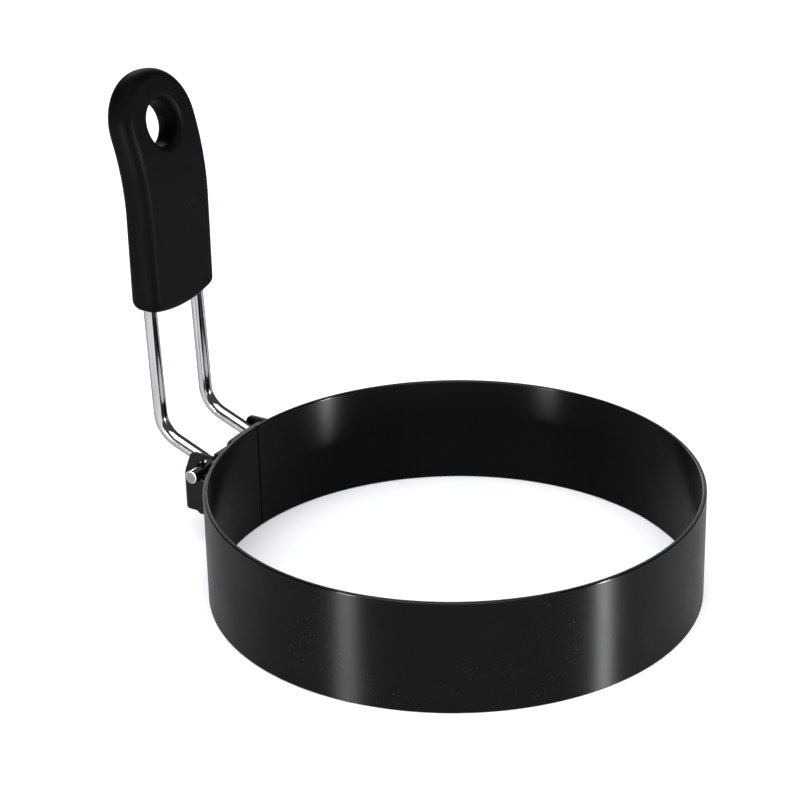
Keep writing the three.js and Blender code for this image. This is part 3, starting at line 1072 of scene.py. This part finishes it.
fresh()
bpy.ops.mesh.primitive_plane_add(size=FLOOR_SIZE, location=RING_CENTRE)
floor = settle("floor")
floor_finish, tree, surface = finish(
    "pale floor", Base_Color=FLOOR_WHITE, Roughness=FLOOR_ROUGHNESS, Specular_IOR_Level=FLOOR_SHINE
)
floor.data.materials.append(floor_finish)
floor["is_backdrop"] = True
report(floor)

# %% [markdown]
# ## Light
#
# The surround is white but dim. A bright one would light the part evenly and be simpler, but a
# black part mirrors it from every side, and its walls would turn grey.

# %% Dim the surround
SURROUND_WHITE = (1.0, 1.0, 1.0, 1)
SURROUND_STRENGTH = 0.12

scene = bpy.context.scene
sky = bpy.data.worlds.new("soft surround")
sky.use_nodes = True
background = sky.node_tree.nodes["Background"].inputs
background["Color"].default_value = SURROUND_WHITE
background["Strength"].default_value = SURROUND_STRENGTH
scene.world = sky
scene.view_settings.view_transform = "Standard"
print(f"surround: {sky.name} at {SURROUND_STRENGTH}")

# %% [markdown]
# One broad, soft overhead lamp lights the floor and shows a black part without glare. Two low,
# narrow lamps, one on each side of the camera, draw the two stripes on the band. A weak, low lamp
# behind draws the thin lines on the edges of the rims and lights the top of the pins. The lamps
# are a trace cooler than the surround. Each is given by the direction that it stands in, in
# degrees round the ring, its distance and height, the sides of its face, and its power in watts.

# %% Set up the lamps
LAMP_COLOUR = (0.95, 0.97, 1.0)
STRIPE_DISTANCE = 0.75
LAMPS = {
    "left stripe lamp": dict(
        azimuth=-105, distance=STRIPE_DISTANCE, height=0.045, face=(0.1, 0.08), power=14.5
    ),
    "right stripe lamp": dict(
        azimuth=3.5, distance=STRIPE_DISTANCE, height=0.06, face=(0.06, 0.11), power=24.0
    ),
    "overhead lamp": dict(azimuth=-80, distance=0.5, height=1.6, face=(1.7, 1.7), power=45.0),
    "low back lamp": dict(azimuth=128, distance=1.2, height=0.55, face=(0.8, 0.5), power=7.0),
}


def soft_lamp(name, azimuth, distance, height, face, power):
    """A soft rectangular lamp at an azimuth round the ring, facing the ring."""
    data = bpy.data.lights.new(name, "AREA")
    data.shape = "RECTANGLE"
    data.size, data.size_y = face
    data.energy = power
    data.color = LAMP_COLOUR
    lamp = bpy.data.objects.new(name, data)
    scene.collection.objects.link(lamp)
    bearing = math.radians(azimuth)
    outward = Vector((math.cos(bearing), math.sin(bearing), 0))
    lamp.location = RING_CENTRE + distance * outward + height * Z_AXIS
    aim = RING_CENTRE + RING_HEIGHT / 2 * Z_AXIS - lamp.location
    lamp.rotation_euler = aim.to_track_quat("-Z", "Y").to_euler()
    print(f"{name}: {power} W at azimuth {azimuth}")


for name, settings in LAMPS.items():
    soft_lamp(name, **settings)

# %% [markdown]
# ## Camera
#
# The camera looks from the photograph's angle, with a long lens. Its place, its turn and its lens
# were fitted together, so that the rims and the handle fall where they do in the photograph. The
# turn is in degrees.

# %% Place the camera
CAMERA_FROM = Vector((0.18838, -0.32198, 0.20464))
CAMERA_TURN = (65.7263, 1.0958, 31.2701)
LENS_MM = 105.493

camera_data = bpy.data.cameras.new("camera")
camera_data.lens = LENS_MM
camera_data.clip_start = RING_HEIGHT
camera = bpy.data.objects.new("camera", camera_data)
camera.location = RING_CENTRE + CAMERA_FROM
camera.rotation_euler = [math.radians(angle) for angle in CAMERA_TURN]
scene.collection.objects.link(camera)
scene.camera = camera
print("camera at", [round(c, 3) for c in camera.location])

# %% [markdown]
# ## Print the sizes and finish
#
# The fine pieces must stay inside the box of the solids. Both boxes are written down to compare.

# %% Write the sizes and finish
boxes = {"cad": cad_box, "visual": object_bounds()}
for name, corners in boxes.items():
    print(name, "box:", [[round(place, 4) for place in corner] for corner in corners])
